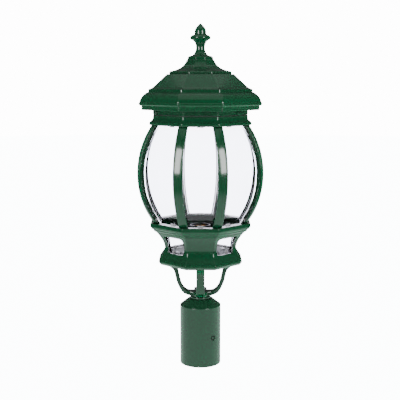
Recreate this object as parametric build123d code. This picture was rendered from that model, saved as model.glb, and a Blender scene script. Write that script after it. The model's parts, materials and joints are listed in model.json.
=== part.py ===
"""Post-top lantern: an eight-sided cast cage and lift-off roof on a socket for a 60 mm post.

The front of the lantern faces -Y and +Z is up. The origin is the centre of the socket's bottom rim.
The plan is an octagon with four narrow sides, square to the axes, and four wide sides between them.
"""

from build123d import *
import math
import os

# Plan. A radius given for a ring is the distance from the axis to its narrow sides.
NARROW_HALF_ANGLE = 19.7
WIDE_HALF_ANGLE = 45 - NARROW_HALF_ANGLE
WIDE_RATIO = math.cos(math.radians(WIDE_HALF_ANGLE)) / math.cos(math.radians(NARROW_HALF_ANGLE))
REACH = 200
NARROW_AZIMUTHS = (0, 90, 180, 270)
WIDE_AZIMUTHS = (45, 135, 225, 315)
RIB_AZIMUTHS = [side + sign * NARROW_HALF_ANGLE for side in NARROW_AZIMUTHS for sign in (-1, 1)]

# Gaps: between two bodies, round a screw or stud, and between two pieces of one body.
BODY_GAP = 0.35
SCREW_GAP = 0.06
SEAT_GAP = 0.15

# Socket for the post.
POST_BORE_R = 31
POST_BORE_TOP_Z = 84.4
RELIEF_R = 32.5
SOCKET_R = 36
SOCKET_TOP_Z = 106.3
SHOULDER_R = 21.2
SHOULDER_Z = 118
BORE_DEPTH = 95
CLAMP_SCREW_R = 4
CLAMP_SCREW_POINT = 0.8
CLAMP_KEY_R = 2.3
CLAMP_SPOT_R = 5.6
CLAMP_SPOT_DEPTH = 0.8
CLAMP_Z = 52.1
CLAMP_AZIMUTH = 38.5

# Stem, a hollow threaded tube that carries the wiring and holds socket, yoke and tray together.
STEM_R = 6.5
STEM_BORE_R = 4.5
STEM_BOTTOM_Z = 84.9
STEM_TOP_Z = 218.1
STEM_NUT_R = 11
STEM_NUT_HEIGHT = 6
STEM_WASHER_R = 13
STEM_WASHER_HEIGHT = 2

# Yoke of four arms.
NECK_R = 18
NECK_TOP_Z = 122.1
HUB_R = 16.8
HUB_TOP_Z = 130.7
ARM_HALF_WIDTH = 7.25
ARM_ROOT_HALF_WIDTH = 14
YOKE_TOP_Z = 183
YOKE_SCREW_R = 2.5
YOKE_SCREW_AT_R = 50.1

# Lower cage.
CAGE_BOTTOM_Z = YOKE_TOP_Z
CAGE_TOP_Z = 240
CAGE_FLOOR_THICKNESS = 4
RIM_R = 72.3
RIM_TOP_Z = 190.8
BROW_R = 75.2
CAGE_WALL = 3.5
COVE_Z = 212.5
COVE_R = 61.9
WINDOW_BOTTOM_Z = 205.2
WINDOW_TOP_Z = 235.1
WINDOW_BORDER = 9
WINDOW_CORNER_R = 7
LOWER_PANE_THICKNESS = 3
LOWER_PANE_BOTTOM_Z = 202.4
LOWER_PANE_TOP_Z = 234.6
FLANGE_R = 61
FLANGE_THICKNESS = 3.2
FLANGE_SCREW_AT_R = 64
M4_R = 2

# Gear tray and lampholder.
TRAY_Z = 200.2
TRAY_TOP_Z = 202.2
TRAY_R = 50.1
TRAY_PILLAR_R = 4
TRAY_PILLAR_AT_R = 42.2
TRAY_PILLAR_AZIMUTH = 22
CABLE_HOLE_R = 5.5
CABLE_HOLE_AT_R = 27.5
HOLDER_R = 18
HOLDER_WALL = 1.8
HOLDER_BOTTOM_Z = 209.2
HOLDER_BASE_TOP_Z = 220.1
HOLDER_BLOCK_TOP_Z = 228.1
HOLDER_TOP_Z = 250.9
HOLDER_THREAD_R = 13.4

# Waist ring.
WAIST_R = 86.5
WAIST_TOP_Z = 257.4
WAIST_OPENING_R = 67.4

# Ribs and panes of the globe: an outline bowed to a circular arc.
GLOBE_ARC_R = 143.3
GLOBE_WIDEST_R = 112.6
GLOBE_MIDDLE_Z = 342.9
RIB_WIDTH = 16
RIB_THICKNESS = 4.2
RIB_WEB_WIDTH = 6
RIB_WEB_DEPTH = 7
RIB_SCREW_R = 1.5
RIB_SCREW_DEPTH = 4
RIB_SCREW_FOOT_R = 78.8
RIB_SCREW_HEAD_R = 79.6
PANE_THICKNESS = 3
PANE_CLIP_HEIGHT = 3
GLOBE_BOTTOM_Z = WAIST_TOP_Z
GLOBE_TOP_Z = 425.9
RING_PLATE = 4

# Top collar, and the spigot that the roof slides over.
COLLAR_NECK_R = 80.5
COLLAR_TOP_Z = 442.4
COLLAR_INNER_R = 77.6
SPIGOT_R = 76.3
SPIGOT_INNER_R = 73.1
SPIGOT_TOP_Z = 453.1
GASKET_HEIGHT = 1.2

# Roof.
SKIRT_R = 80.6
SKIRT_INNER_R = 77.3
SKIRT_BOTTOM_Z = COLLAR_TOP_Z + GASKET_HEIGHT + BODY_GAP
EAVE_BAND_R = 99.6
EAVE_BOTTOM_Z = 451.7
EAVE_LIP_R = 104.4
ROOF_TOP_Z = 511.8
ROOF_WALL = 4
ROOF_SCREW_Z = 447.4
ROOF_SCREW_R = 2.5
ROOF_SCREW_HEAD_R = 4.1
ROOF_SCREW_HEAD_HEIGHT = 3
# Side that each roof screw stands square to, and how far along that side it is.
ROOF_SCREWS = ((45, 12.3), (180, -8.4), (-45, -27.8))

# Cap and finial.
CAP_PLATE_R = 52.9
CAP_TOP_Z = 543.2
FINIAL_TIP_Z = 597.2
STUD_R = 4
STUD_BOTTOM_Z = 495.9
STUD_TOP_Z = 566.3
STUD_NUT_R = 7.5
STUD_NUT_HEIGHT = 6.5
STUD_WASHER_R = 9
STUD_WASHER_HEIGHT = 1.6


def turned(shape, azimuth):
    """Turn a shape made facing +X so that it faces the azimuth, from the front (-Y) towards +X."""
    return Rot(0, 0, azimuth - 90) * shape


def section(steps, ratio=1.0):
    """Closed face in the radius-height plane. A step of several points is a Bezier curve to the last."""
    edges = []
    here = steps[0]
    for step in steps[1:] + [steps[0]]:
        points = step if isinstance(step[0], tuple) else (step,)
        path = [(r * ratio, z) for r, z in (here, *points)]
        edges.append(Line(*path) if len(path) == 2 else Bezier(*path))
        here = points[-1]
    return Plane.XZ * make_face(Wire(edges))


def wedge(half_angle, inset=0.0):
    """Wedge of plan about +X, REACH long, its sides moved in by inset."""
    start = inset / math.sin(math.radians(half_angle))
    half = REACH * math.tan(math.radians(half_angle))
    plan = make_face(Polyline((start, 0), (start + REACH, half), (start + REACH, -half), close=True))
    return Pos(0, 0, -REACH) * extrude(plan, 5 * REACH)


def sides(steps, half_angle, ratio, azimuths):
    """The solids of one kind of side of a ring with this section."""
    bar = extrude(section(steps, ratio), REACH, both=True)
    side = bar & wedge(half_angle)
    return [turned(side, azimuth) for azimuth in azimuths]


def octagon_ring(steps):
    """Eight-sided ring or solid with this section on its narrow sides."""
    pieces = sides(steps, NARROW_HALF_ANGLE, 1.0, NARROW_AZIMUTHS)
    pieces += sides(steps, WIDE_HALF_ANGLE, WIDE_RATIO, WIDE_AZIMUTHS)
    return pieces[0].fuse(*pieces[1:]).clean()


def turning(steps):
    """Solid of revolution about the lantern's axis."""
    return revolve(section(steps), Axis.Z)


def rod(radius, bottom, top, x=0.0, y=0.0):
    """Upright cylinder between two heights."""
    return Pos(x, y, bottom) * Cylinder(radius, top - bottom, align=(Align.CENTER, Align.CENTER, Align.MIN))


def tube(outer, inner, bottom, top):
    """Upright tube on the axis."""
    return rod(outer, bottom, top) - rod(inner, bottom - 1, top + 1)


def spoke(radius, start, end, z, azimuth, along=0.0):
    """Level cylinder square to the side at an azimuth, moved along that side."""
    bar = Cylinder(radius, end - start, align=(Align.CENTER, Align.CENTER, Align.MIN))
    return turned(Pos(start, along, z) * Rot(0, 90, 0) * bar, azimuth)


def group(shape, azimuths):
    """Copies of a shape made facing +X, one at each azimuth."""
    return Compound([turned(shape, azimuth) for azimuth in azimuths])


def hex_nut(across_corners_r, bore_r, bottom, height):
    """Hexagon nut on the axis."""
    body = Pos(0, 0, bottom) * extrude(RegularPolygon(across_corners_r, 6), height)
    return body - rod(bore_r, bottom - 1, bottom + height + 1)


def globe_r(z):
    """Outer radius of the ribs at a height."""
    rise = z - GLOBE_MIDDLE_Z
    return GLOBE_WIDEST_R - GLOBE_ARC_R + math.sqrt(GLOBE_ARC_R**2 - rise**2)


def globe_band(outer, thickness, ratio, bottom, top):
    """Face of a bowed band: its outer side lies inside the ribs' outline by outer, times ratio."""
    def rim(z, inset):
        return ((globe_r(z) - outer) * ratio - inset, z)

    middle = GLOBE_MIDDLE_Z
    front = ThreePointArc(rim(bottom, 0), rim(middle, 0), rim(top, 0))
    back = ThreePointArc(rim(bottom, thickness), rim(middle, thickness), rim(top, thickness))
    ends = [Line(rim(z, 0), rim(z, thickness)) for z in (bottom, top)]
    return Plane.XZ * make_face(Wire([front, back, *ends]))


def post_socket():
    """Sleeve over the post, with three threaded holes for the clamp screws."""
    body = turning([
        (STEM_R + SEAT_GAP, BORE_DEPTH), (RELIEF_R, BORE_DEPTH), (RELIEF_R, POST_BORE_TOP_Z),
        (POST_BORE_R, POST_BORE_TOP_Z), (POST_BORE_R, 0.8),
        (POST_BORE_R + 0.8, 0), (SOCKET_R - 0.8, 0), (SOCKET_R, 0.8), (SOCKET_R, SOCKET_TOP_Z - 1),
        (SOCKET_R - 0.6, SOCKET_TOP_Z), (SHOULDER_R, SHOULDER_Z), (STEM_R + SEAT_GAP, SHOULDER_Z),
    ])
    for step in range(3):
        azimuth = CLAMP_AZIMUTH + 120 * step
        body -= spoke(CLAMP_SCREW_R + SCREW_GAP, POST_BORE_R - 3, SOCKET_R + 3, CLAMP_Z, azimuth)
        body -= spoke(CLAMP_SPOT_R, SOCKET_R - CLAMP_SPOT_DEPTH, SOCKET_R + 3, CLAMP_Z, azimuth)
    return body


def clamp_screw(azimuth):
    """Socket-head grub screw, its point just inside the wall of the bore."""
    tip = POST_BORE_R + BODY_GAP
    shank = tip + CLAMP_SCREW_POINT
    end = SOCKET_R - CLAMP_SPOT_DEPTH
    point = Cone(CLAMP_SCREW_R - 1, CLAMP_SCREW_R, CLAMP_SCREW_POINT,
                 align=(Align.CENTER, Align.CENTER, Align.MIN))
    screw = spoke(CLAMP_SCREW_R, shank, end, CLAMP_Z, azimuth)
    screw += turned(Pos(tip, 0, CLAMP_Z) * Rot(0, 90, 0) * point, azimuth)
    key = extrude(RegularPolygon(CLAMP_KEY_R, 6), CLAMP_KEY_R)
    return screw - turned(Pos(end - CLAMP_KEY_R + 0.1, 0, CLAMP_Z) * Rot(0, 90, 0) * key, azimuth)


def neck_ring():
    """Round spacer between the socket's shoulder and the yoke."""
    ring = tube(NECK_R, STEM_R + SEAT_GAP, SHOULDER_Z, NECK_TOP_Z)
    rims = ring.edges().filter_by(GeomType.CIRCLE).group_by(SortBy.RADIUS)[-1]
    return fillet(rims, 1.2)


def stem():
    """Hollow threaded tube that carries the wiring up from the post."""
    return tube(STEM_R, STEM_BORE_R, STEM_BOTTOM_Z, STEM_TOP_Z)


def stem_nuts():
    """Three nuts on the stem: under the socket's roof, on the yoke's hub and on the tray."""
    nuts = [BORE_DEPTH - STEM_WASHER_HEIGHT - STEM_NUT_HEIGHT, HUB_TOP_Z, TRAY_TOP_Z]
    return Compound([hex_nut(STEM_NUT_R, STEM_R + SCREW_GAP, z, STEM_NUT_HEIGHT) for z in nuts])


def stem_washer():
    """Wide washer under the socket's roof."""
    return tube(STEM_WASHER_R, STEM_R + SEAT_GAP, BORE_DEPTH - STEM_WASHER_HEIGHT, BORE_DEPTH)


def arm_outline():
    """Side of one arm: out from the hub, up, and out again under the cage."""
    foot_r = 61.5
    outer = Spline((HUB_R - 4, NECK_TOP_Z), (25.7, 125.6), (34, 132.7), (41.1, 146.9), (44.2, 159),
                   (47.2, 169.1), (53.6, 175.2), (foot_r, YOKE_TOP_Z - 1.5))
    inner = Spline((HUB_R - 6, HUB_TOP_Z), (22.9, 132.8), (31.4, 140.8), (35.3, 150.9), (37.7, 161),
                   (39.9, 171.1), (42.3, YOKE_TOP_Z))
    ends = [Line(outer @ 0, inner @ 0), Line(inner @ 1, (foot_r, YOKE_TOP_Z)),
            Line((foot_r, YOKE_TOP_Z), outer @ 1)]
    return Plane.XZ * make_face(Wire([outer, inner, *ends]))


def arm_plan():
    """Plan of one arm: a bar that widens into the hub."""
    half = ARM_HALF_WIDTH
    edge = [(5, ARM_ROOT_HALF_WIDTH), (13, 12), (22, half + 1.2), (32, half), (70, half)]
    mirrored = [(x, -y) for x, y in reversed(edge)]
    return make_face(Polyline(*edge, *mirrored, close=True))


def arm_yoke():
    """Casting of a round hub and four arms that carries the cage."""
    side = extrude(arm_outline(), ARM_ROOT_HALF_WIDTH, both=True)
    arm = side & Pos(0, 0, NECK_TOP_Z - 2) * extrude(arm_plan(), YOKE_TOP_Z - NECK_TOP_Z + 4)
    arm -= rod(YOKE_SCREW_R + SCREW_GAP, YOKE_TOP_Z - 9, YOKE_TOP_Z + 1, YOKE_SCREW_AT_R)
    body = rod(HUB_R, NECK_TOP_Z, HUB_TOP_Z)
    for azimuth in NARROW_AZIMUTHS:
        body += turned(arm, azimuth)
    return body - rod(STEM_R + SEAT_GAP, 0, REACH)


def yoke_screws():
    """Four pan-head screws, down through the cage's floor into the arms."""
    seat_z = CAGE_BOTTOM_Z + CAGE_FLOOR_THICKNESS
    screw = rod(YOKE_SCREW_R, YOKE_TOP_Z - 8, seat_z + 1, YOKE_SCREW_AT_R)
    screw += rod(2 * YOKE_SCREW_R, seat_z, seat_z + 3, YOKE_SCREW_AT_R)
    return group(screw, NARROW_AZIMUTHS)


def cove(inset, brow):
    """Bezier steps up the lower cage's hollow side, moved in by inset, to the brow."""
    waist = (COVE_R - inset, COVE_Z)
    return [((69.5 - inset, 196.5), (COVE_R - inset, 203.5), waist),
            ((COVE_R - inset, 221), (66.5 - inset, 229.5), brow)]


def cove_down(inset, rim):
    """The same curve from the brow down to the rim."""
    waist = (COVE_R - inset, COVE_Z)
    return [((66.5 - inset, 229.5), (COVE_R - inset, 221), waist),
            ((COVE_R - inset, 203.5), (69.5 - inset, 196.5), rim)]


def lower_cage():
    """Cove-sided casting with a floor, a top flange and a window in each wide side."""
    floor_z = CAGE_BOTTOM_Z + CAGE_FLOOR_THICKNESS
    flange_z = CAGE_TOP_Z - FLANGE_THICKNESS
    body = octagon_ring([
        (0, CAGE_BOTTOM_Z), (68.8, CAGE_BOTTOM_Z), (RIM_R, CAGE_BOTTOM_Z + 4.6), (RIM_R, RIM_TOP_Z),
        *cove(0, (BROW_R, CAGE_TOP_Z)), (FLANGE_R, CAGE_TOP_Z), (FLANGE_R, flange_z),
        (BROW_R - CAGE_WALL - 3.4, flange_z), *cove_down(CAGE_WALL, (RIM_R - CAGE_WALL, RIM_TOP_Z)),
        (RIM_R - CAGE_WALL, floor_z), (0, floor_z),
    ])
    body -= rod(STEM_R + SEAT_GAP, 0, REACH)
    screw_hole = rod(YOKE_SCREW_R + SCREW_GAP, CAGE_BOTTOM_Z - 1, floor_z + 1, YOKE_SCREW_AT_R)
    flange_hole = rod(M4_R + SCREW_GAP, flange_z - 1, CAGE_TOP_Z + 1, FLANGE_SCREW_AT_R)
    for azimuth in NARROW_AZIMUTHS:
        body -= turned(screw_hole, azimuth)
        body -= turned(flange_hole, azimuth)
    for azimuth in WIDE_AZIMUTHS:
        body -= turned(window_cutter(), azimuth)
    return body


def window_cutter():
    """Cutter for one lower window, facing +X: wider at the top, with round upper corners."""
    half_tan = math.tan(math.radians(WIDE_HALF_ANGLE)) * WIDE_RATIO
    bottom_half = COVE_R * half_tan - WINDOW_BORDER
    top_half = 72.5 * half_tan - WINDOW_BORDER
    plan = make_face(Polyline((-bottom_half, WINDOW_BOTTOM_Z), (bottom_half, WINDOW_BOTTOM_Z),
                              (top_half, WINDOW_TOP_Z), (-top_half, WINDOW_TOP_Z), close=True))
    corners = plan.vertices().sort_by(Axis.Y)[-2:]
    face = Plane.YZ * fillet(corners, WINDOW_CORNER_R)
    return Pos(COVE_R * WIDE_RATIO - 15, 0, 0) * extrude(face, 60)


def lower_pane_r(z):
    """Distance from the axis to the outer face of a lower pane."""
    return 54 + (z - LOWER_PANE_BOTTOM_Z) * 0.148


def lower_pane(azimuth):
    """Flat pane, leaning out a little, behind a lower window."""
    foot = lower_pane_r(LOWER_PANE_BOTTOM_Z)
    head = lower_pane_r(LOWER_PANE_TOP_Z)
    face = section([
        (foot - LOWER_PANE_THICKNESS, LOWER_PANE_BOTTOM_Z), (foot, LOWER_PANE_BOTTOM_Z),
        (head, LOWER_PANE_TOP_Z), (head - LOWER_PANE_THICKNESS, LOWER_PANE_TOP_Z),
    ])
    pane = extrude(face, REACH, both=True) & wedge(WIDE_HALF_ANGLE, 2.5)
    return turned(pane, azimuth)


def lower_pane_clips():
    """Spring clips on the tray's edge, two at the foot of each lower pane."""
    back_r = lower_pane_r(LOWER_PANE_BOTTOM_Z) - LOWER_PANE_THICKNESS - SEAT_GAP
    leaf = Pos(back_r - 0.5, 0, TRAY_TOP_Z + 3) * Box(1, 6, 6)
    foot = Pos(back_r - 4, 0, TRAY_TOP_Z + 0.5) * Box(7, 6, 1)
    pair = [Pos(0, side, 0) * (leaf + foot) for side in (-12, 12)]
    return Compound([turned(clip, azimuth) for azimuth in WIDE_AZIMUTHS for clip in pair])


def pillar_azimuths():
    """Azimuths of the tray's pillars, clear of the yoke screws and clips."""
    return [side + TRAY_PILLAR_AZIMUTH for side in NARROW_AZIMUTHS]


def gear_tray():
    """Round tray that carries the lampholder over the wiring space."""
    body = tube(TRAY_R, STEM_R + SEAT_GAP, TRAY_Z, TRAY_TOP_Z)
    hole = rod(M4_R + SCREW_GAP, TRAY_Z - 1, TRAY_TOP_Z + 1, TRAY_PILLAR_AT_R)
    for azimuth in pillar_azimuths():
        body -= turned(hole, azimuth)
    return body - turned(rod(CABLE_HOLE_R, TRAY_Z - 1, TRAY_TOP_Z + 1, CABLE_HOLE_AT_R), 225)


def tray_pillars():
    """Four tapped pillars between the cage's floor and the tray."""
    pillar = rod(TRAY_PILLAR_R, CAGE_BOTTOM_Z + CAGE_FLOOR_THICKNESS, TRAY_Z, TRAY_PILLAR_AT_R)
    pillar -= rod(M4_R + SCREW_GAP, TRAY_Z - 9, TRAY_Z + 1, TRAY_PILLAR_AT_R)
    return group(pillar, pillar_azimuths())


def tray_screws():
    """Pan-head screws through the tray into its pillars."""
    screw = rod(M4_R, TRAY_Z - 8, TRAY_TOP_Z + 1, TRAY_PILLAR_AT_R)
    screw += rod(1.9 * M4_R, TRAY_TOP_Z, TRAY_TOP_Z + 2.4, TRAY_PILLAR_AT_R)
    return group(screw, pillar_azimuths())


def cable_grommet():
    """Rubber grommet in the tray's cable hole: a grooved ring."""
    lip = CABLE_HOLE_R + 2
    ring = tube(lip, CABLE_HOLE_R - 2, TRAY_Z - 1.5, TRAY_TOP_Z + 1.5)
    groove = tube(lip + 1, CABLE_HOLE_R - SCREW_GAP, TRAY_Z - SCREW_GAP, TRAY_TOP_Z + SCREW_GAP)
    return turned(Pos(CABLE_HOLE_AT_R, 0, 0) * (ring - groove), 225)


def terminal_block():
    """Three-way terminal block on the cage's floor, with its wire and screw holes."""
    floor_z = CAGE_BOTTOM_Z + CAGE_FLOOR_THICKNESS
    block = Pos(26, 0, floor_z + 6) * Box(15, 32, 12)
    for along in (-10, 0, 10):
        block -= Pos(26, along, floor_z + 4) * Rot(0, 90, 0) * Cylinder(1.8, 20)
        block -= rod(2.2, floor_z + 7, floor_z + 13, 26, along)
    return turned(block, 45)


def terminal_screws():
    """Slotted brass screws of the terminal block."""
    floor_z = CAGE_BOTTOM_Z + CAGE_FLOOR_THICKNESS
    screws = []
    for along in (-10, 0, 10):
        screw = rod(2.2 - SCREW_GAP, floor_z + 7, floor_z + 11, 26, along)
        screws.append(turned(screw - Pos(26, along, floor_z + 11) * Box(5, 0.8, 1.6), 45))
    return Compound(screws)


def lampholder_base():
    """Dark moulded foot of the lampholder, screwed on the stem."""
    base = turning([
        (STEM_R + SCREW_GAP, HOLDER_BOTTOM_Z), (12.7, HOLDER_BOTTOM_Z),
        (HOLDER_R, HOLDER_BOTTOM_Z + 5), (HOLDER_R, HOLDER_BASE_TOP_Z),
        (HOLDER_R - HOLDER_WALL, HOLDER_BASE_TOP_Z), (HOLDER_R - HOLDER_WALL, HOLDER_BASE_TOP_Z - 2),
        (STEM_R + SCREW_GAP, HOLDER_BASE_TOP_Z - 2),
    ])
    return base


def lampholder_shell():
    """Dark moulded outer sleeve of the lampholder, with a rolled lip."""
    inner = HOLDER_R - HOLDER_WALL
    return turning([
        (inner, HOLDER_BASE_TOP_Z), (HOLDER_R, HOLDER_BASE_TOP_Z), (HOLDER_R, HOLDER_TOP_Z - 1.5),
        ((HOLDER_R, HOLDER_TOP_Z), (HOLDER_R - 1, HOLDER_TOP_Z)), (inner, HOLDER_TOP_Z),
    ])


def lampholder_block():
    """Ceramic block in the lampholder that carries the contacts."""
    inner = HOLDER_R - HOLDER_WALL - SEAT_GAP
    block = rod(inner, HOLDER_BASE_TOP_Z - 2, HOLDER_BLOCK_TOP_Z)
    return block - tube(HOLDER_THREAD_R + 1 + SCREW_GAP, HOLDER_THREAD_R - 1, HOLDER_BLOCK_TOP_Z - 2,
                        HOLDER_BLOCK_TOP_Z)


def lampholder_thread():
    """Brass screw shell for the lamp, seated in the block."""
    return tube(HOLDER_THREAD_R + 1, HOLDER_THREAD_R, HOLDER_BLOCK_TOP_Z - 1, HOLDER_TOP_Z - 3)


def lampholder_contact():
    """Sprung brass tongue in the middle of the block."""
    side = section([(-6, HOLDER_BLOCK_TOP_Z), (-2, HOLDER_BLOCK_TOP_Z), (5, HOLDER_BLOCK_TOP_Z + 3),
                    (5, HOLDER_BLOCK_TOP_Z + 3.8), (-2.2, HOLDER_BLOCK_TOP_Z + 0.8),
                    (-6, HOLDER_BLOCK_TOP_Z + 0.8)])
    return extrude(side, 3, both=True)


def waist_ring():
    """Channel-shaped ring that the ribs and panes stand on."""
    plate_z = WAIST_TOP_Z - RING_PLATE
    body = octagon_ring([
        (FLANGE_R, CAGE_TOP_Z), (75.8, CAGE_TOP_Z), (76.8, 241.8), ((79.4, 242.3), (81, 244), (81.2, 246.3)),
        (82.6, 246.8), ((84.2, 247.5), (85, 248.6), (85.1, 250)), (WAIST_R - 0.4, 250.4), (WAIST_R, 251.4),
        (WAIST_R, 255.9), (WAIST_R - 1.3, WAIST_TOP_Z), (WAIST_OPENING_R, WAIST_TOP_Z),
        (WAIST_OPENING_R, plate_z), (81.2, plate_z), (75.2, CAGE_TOP_Z + RING_PLATE),
        (FLANGE_R, CAGE_TOP_Z + RING_PLATE),
    ])
    hole = rod(M4_R + SCREW_GAP, CAGE_TOP_Z - 1, CAGE_TOP_Z + RING_PLATE + 1, FLANGE_SCREW_AT_R)
    for azimuth in NARROW_AZIMUTHS:
        body -= turned(hole, azimuth)
    rib_hole = rod(RIB_SCREW_R + SCREW_GAP, plate_z - 1, WAIST_TOP_Z + 1, RIB_SCREW_FOOT_R)
    for azimuth in RIB_AZIMUTHS:
        body -= turned(rib_hole, azimuth)
    return body


def waist_screws():
    """Screws up through the lower cage's flange into the waist ring."""
    seat_z = CAGE_TOP_Z - FLANGE_THICKNESS
    screw = rod(M4_R, seat_z - 1, CAGE_TOP_Z + RING_PLATE, FLANGE_SCREW_AT_R)
    screw += rod(1.15 * M4_R, seat_z - 2.4, seat_z, FLANGE_SCREW_AT_R)
    return group(screw, NARROW_AZIMUTHS)


def rib(azimuth):
    """Bowed rib of tee section, tapped at both ends."""
    flange = extrude(globe_band(0, RIB_THICKNESS, 1, GLOBE_BOTTOM_Z, GLOBE_TOP_Z), RIB_WIDTH / 2, both=True)
    web_face = globe_band(RIB_THICKNESS - 0.5, RIB_WEB_DEPTH + 0.5, 1, GLOBE_BOTTOM_Z, GLOBE_TOP_Z)
    bar = flange + extrude(web_face, RIB_WEB_WIDTH / 2, both=True)
    hole_r = RIB_SCREW_R + SCREW_GAP
    bar -= rod(hole_r, GLOBE_BOTTOM_Z - 1, GLOBE_BOTTOM_Z + RIB_SCREW_DEPTH + 0.5, RIB_SCREW_FOOT_R)
    bar -= rod(hole_r, GLOBE_TOP_Z - RIB_SCREW_DEPTH - 0.5, GLOBE_TOP_Z + 1, RIB_SCREW_HEAD_R)
    return turned(bar, azimuth)


def rib_screws():
    """Small screws that hold each rib at its foot and head."""
    under_z = WAIST_TOP_Z - RING_PLATE
    over_z = GLOBE_TOP_Z + RING_PLATE
    foot = rod(RIB_SCREW_R, under_z - 1, GLOBE_BOTTOM_Z + RIB_SCREW_DEPTH, RIB_SCREW_FOOT_R)
    foot += rod(2.2, under_z - 2, under_z, RIB_SCREW_FOOT_R)
    head = rod(RIB_SCREW_R, GLOBE_TOP_Z - RIB_SCREW_DEPTH, over_z + 1, RIB_SCREW_HEAD_R)
    head += rod(2.2, over_z, over_z + 2, RIB_SCREW_HEAD_R)
    return Compound([turned(screw, azimuth) for azimuth in RIB_AZIMUTHS for screw in (foot, head)])


def pane_inset(half_angle):
    """How far a pane's plane lies inside the ribs' outline, measured at the corner of the plan."""
    return RIB_THICKNESS + SEAT_GAP + RIB_WIDTH / 2 * math.tan(math.radians(half_angle))


def pane_back_r(z, half_angle):
    """Distance from the axis to the inner face of a pane at a height."""
    ratio = math.cos(math.radians(half_angle))
    return (globe_r(z) - pane_inset(half_angle)) * ratio - PANE_THICKNESS


def globe_pane(azimuth, half_angle):
    """Pane bent to the ribs' arc, between two ribs' webs."""
    ratio = math.cos(math.radians(half_angle))
    face = globe_band(pane_inset(half_angle), PANE_THICKNESS, ratio, GLOBE_BOTTOM_Z + SEAT_GAP,
                      GLOBE_TOP_Z - SEAT_GAP)
    pane = extrude(face, REACH, both=True) & wedge(half_angle, RIB_WEB_WIDTH / 2 + SEAT_GAP)
    return turned(pane, azimuth)


def pane_clips():
    """Stops behind the foot and head of each pane."""
    clips = []
    for azimuth in (*NARROW_AZIMUTHS, *WIDE_AZIMUTHS):
        half_angle = NARROW_HALF_ANGLE if azimuth in NARROW_AZIMUTHS else WIDE_HALF_ANGLE
        foot_r = pane_back_r(GLOBE_BOTTOM_Z, half_angle) - SEAT_GAP
        head_r = pane_back_r(GLOBE_TOP_Z, half_angle) - SEAT_GAP
        foot = Pos(foot_r - 0.75, 0, GLOBE_BOTTOM_Z + PANE_CLIP_HEIGHT / 2) * Box(1.5, 10, PANE_CLIP_HEIGHT)
        head = Pos(head_r - 0.75, 0, GLOBE_TOP_Z - PANE_CLIP_HEIGHT / 2) * Box(1.5, 10, PANE_CLIP_HEIGHT)
        clips += [turned(foot, azimuth), turned(head, azimuth)]
    return Compound(clips)


def top_collar():
    """Ring on the ribs' heads, with a beaded lip and a spigot for the roof."""
    plate_z = GLOBE_TOP_Z + RING_PLATE
    body = octagon_ring([
        (WAIST_OPENING_R, GLOBE_TOP_Z), (85, GLOBE_TOP_Z),
        ((87.6, 426.8), (87.6, 430.8), (85.3, 431.9)),
        ((82.8, 433.5), (80.6, 435.9), (COLLAR_NECK_R, 439.3)),
        (COLLAR_NECK_R, COLLAR_TOP_Z), (SPIGOT_R, COLLAR_TOP_Z), (SPIGOT_R, SPIGOT_TOP_Z),
        (SPIGOT_INNER_R, SPIGOT_TOP_Z), (SPIGOT_INNER_R, 439.8), (COLLAR_INNER_R, 436),
        (COLLAR_INNER_R, plate_z), (WAIST_OPENING_R, plate_z),
    ])
    hole = rod(RIB_SCREW_R + SCREW_GAP, GLOBE_TOP_Z - 1, plate_z + 1, RIB_SCREW_HEAD_R)
    for azimuth in RIB_AZIMUTHS:
        body -= turned(hole, azimuth)
    return body


def roof_gasket():
    """Black rubber ring on the collar's ledge."""
    inner, outer, top = SPIGOT_R + SEAT_GAP, COLLAR_NECK_R - 0.9, COLLAR_TOP_Z + GASKET_HEIGHT
    return octagon_ring([(inner, COLLAR_TOP_Z), (outer, COLLAR_TOP_Z), (outer, top), (inner, top)])


def roof():
    """Hollow cast roof: skirt, moulded eave and a slope up to the cap."""
    under_z = EAVE_BOTTOM_Z + ROOF_WALL
    ceiling_z = ROOF_TOP_Z - ROOF_WALL
    body = octagon_ring([
        (SKIRT_INNER_R, SKIRT_BOTTOM_Z), (SKIRT_R, SKIRT_BOTTOM_Z), (SKIRT_R, EAVE_BOTTOM_Z),
        (EAVE_BAND_R, EAVE_BOTTOM_Z), (EAVE_BAND_R, 458.8),
        ((EAVE_LIP_R + 0.6, 458.8), (EAVE_LIP_R + 0.6, 463.8), (102.7, 465.1)),
        ((101.9, 470.5), (97.6, 477.4), (90.2, 481.1)), (88.1, 481.7), (87.7, 486.7),
        ((84.1, 487.4), (81.2, 488.9), (79, 490.9)), (56.7, ROOF_TOP_Z), (0, ROOF_TOP_Z),
        (0, ceiling_z), (55.1, ceiling_z), (76, 488.5), (84.3, 484), (86.1, 478.4),
        (95.2, 471.7), (96, under_z), (SKIRT_INNER_R, under_z),
    ])
    body -= rod(STUD_R + SEAT_GAP, ceiling_z - 1, ROOF_TOP_Z + 1)
    for azimuth, along in ROOF_SCREWS:
        body -= spoke(ROOF_SCREW_R + SCREW_GAP, 70, 95, ROOF_SCREW_Z, azimuth, along)
    return body


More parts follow.
